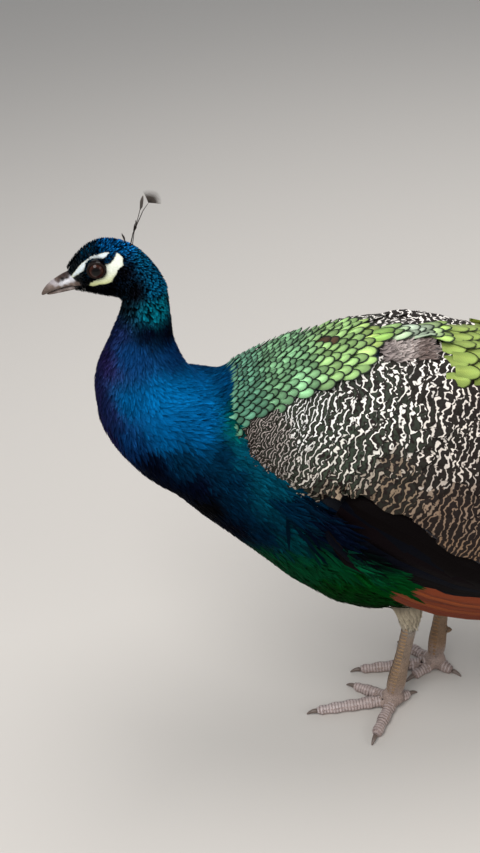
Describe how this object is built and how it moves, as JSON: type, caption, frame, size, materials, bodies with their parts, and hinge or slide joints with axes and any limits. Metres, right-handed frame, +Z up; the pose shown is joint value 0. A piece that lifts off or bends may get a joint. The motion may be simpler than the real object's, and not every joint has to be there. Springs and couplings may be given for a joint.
{
  "type": "peacock",
  "caption": "Standing male peafowl with blue neck, fan-tipped crest, barred folded wings and a long closed train of eyed feathers resting behind it, as a still life-size display model.",
  "frame": {"origin": "middle of the underside of the bird's box, on the floor it stands on", "axes": "+Z up, the bird faces -X, its left side is towards -Y"},
  "size_m": [1.4954, 0.3036, 0.5803],
  "materials": {
    "blue_feathers": "silky iridescent blue feathers, violet in front and teal on the nape",
    "body_feathers": "feathers running from blue on the breast to green-black on the belly, with scaly green on the back",
    "barred_feathers": "pale feathers with narrow wavy black bars",
    "navy_feathers": "near-black flight feathers with a blue gloss",
    "rufous_feathers": "chestnut flight feathers",
    "brown_feathers": "dull brown tail feathers",
    "train_feathers": "loose bronze-green barbs with round eye-spots",
    "thigh_feathers": "short buff feathers",
    "crest_feathers": "bare dark shafts with small blue-green fans",
    "leg_skin": "scaly greyish-pink skin with pale cross scutes",
    "claw_horn": "dark horn",
    "bill_horn": "greyish horn, paler along the side",
    "eye": "wet dark brown eye with a black pupil"
  },
  "bodies": {
    "root": {"head": "blue_feathers", "neck": "blue_feathers", "trunk": "body_feathers", "eye_left": "eye", "eye_right": "eye", "bill_upper": "bill_horn", "bill_lower": "bill_horn", "crest_1": "crest_feathers", "crest_2": "crest_feathers", "crest_3": "crest_feathers", "thigh_left": "thigh_feathers", "tarsus_left": "leg_skin", "foot_left": "leg_skin", "claw_inner_left": "claw_horn", "claw_middle_left": "claw_horn", "claw_outer_left": "claw_horn", "claw_hind_left": "claw_horn", "thigh_right": "thigh_feathers", "tarsus_right": "leg_skin", "foot_right": "leg_skin", "claw_inner_right": "claw_horn", "claw_middle_right": "claw_horn", "claw_outer_right": "claw_horn", "claw_hind_right": "claw_horn", "wing_coverts_left": "barred_feathers", "secondaries_left": "navy_feathers", "primaries_left": "rufous_feathers", "wing_coverts_right": "barred_feathers", "secondaries_right": "navy_feathers", "primaries_right": "rufous_feathers", "tail": "brown_feathers", "train_base": "train_feathers", "train_middle": "train_feathers", "train_end": "train_feathers"}
  },
  "joints": []
}
